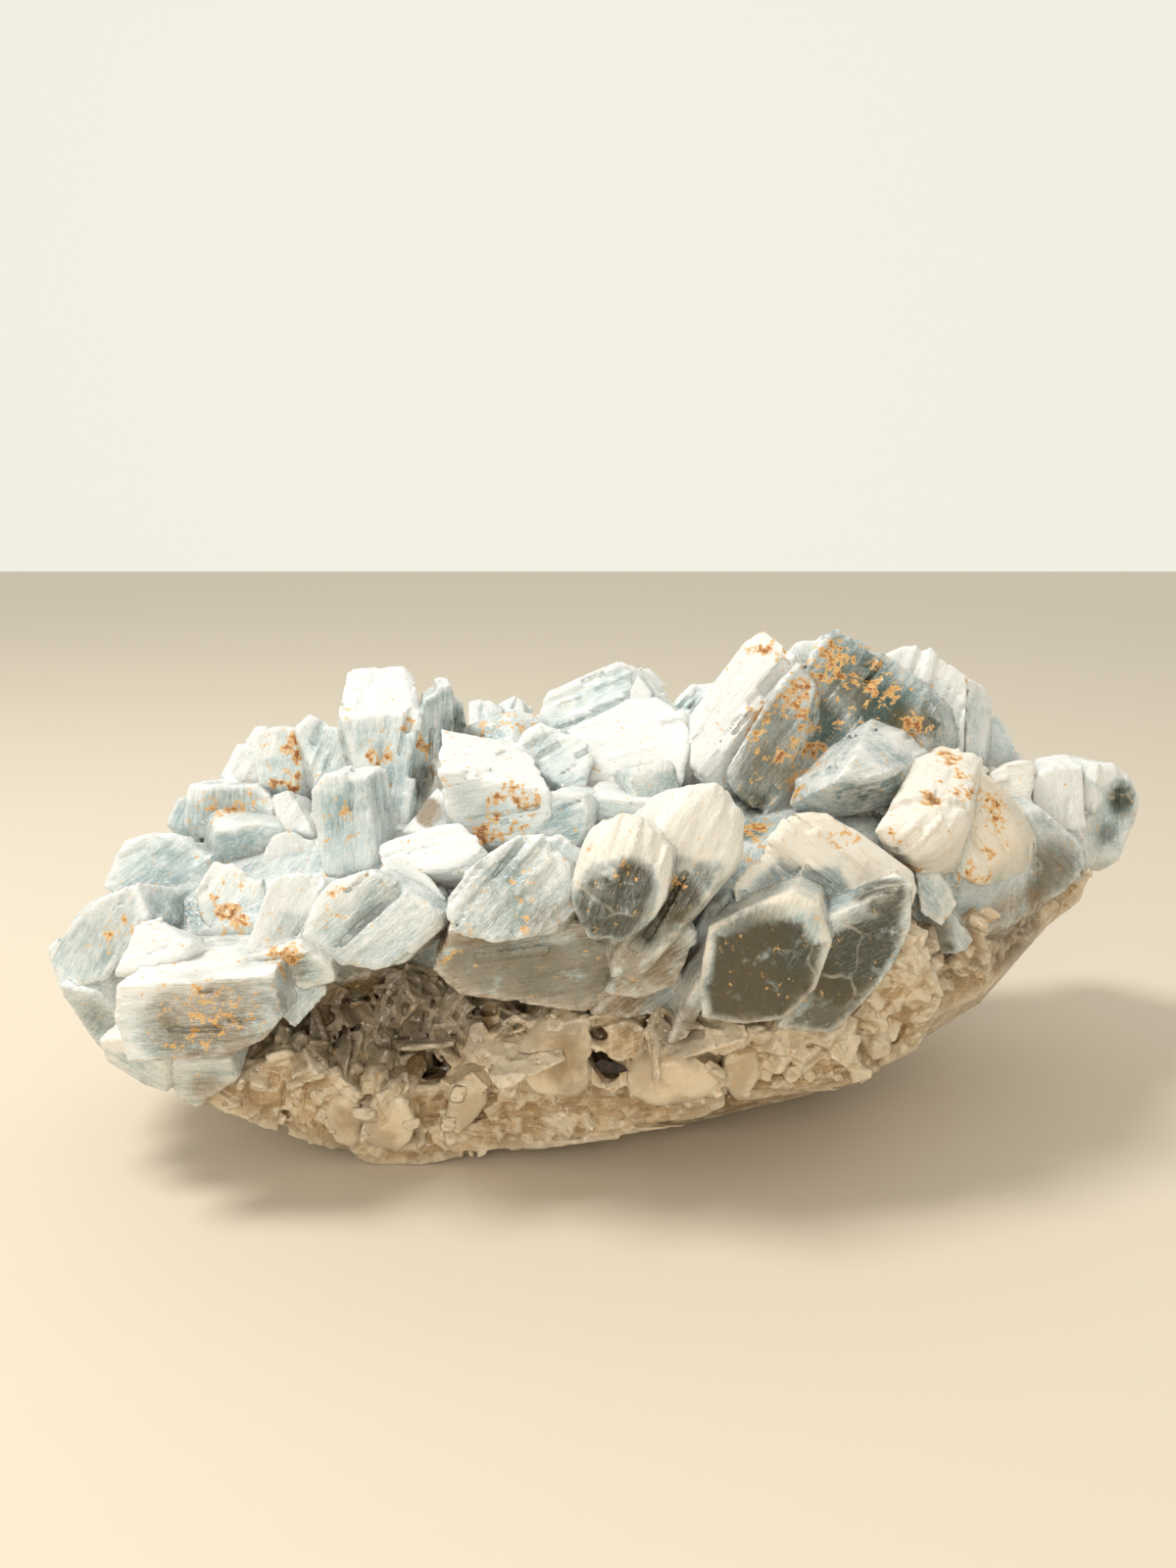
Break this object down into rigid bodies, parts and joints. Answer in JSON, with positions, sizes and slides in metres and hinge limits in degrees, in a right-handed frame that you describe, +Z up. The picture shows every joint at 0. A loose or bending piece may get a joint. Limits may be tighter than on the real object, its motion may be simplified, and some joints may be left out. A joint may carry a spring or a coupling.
{
  "type": "blue barite crystal cluster",
  "caption": "Boat-shaped mineral specimen: blocky pale-blue barite crystals intergrown over a pale crystalline matrix that tapers to a small flat resting spot.",
  "frame": {"origin": "the middle of the flat spot on the underside that the specimen rests on", "axes": "+X along the specimen's length, to the right as seen from its front; +Y away from its front; +Z up"},
  "size_m": [0.2463, 0.1355, 0.1097],
  "materials": {
    "blue_barite": "translucent pale blue crystal with a glassy to pearly lustre, near-white rims and orange iron stains",
    "pale_matrix": "colourless to beige translucent crystal, hackly and glassy",
    "dark_grain": "near-black sub-metallic grain"
  },
  "bodies": {
    "root": {"blue_crystals": "blue_barite", "pale_matrix": "pale_matrix", "dark_grain": "dark_grain"}
  },
  "joints": []
}
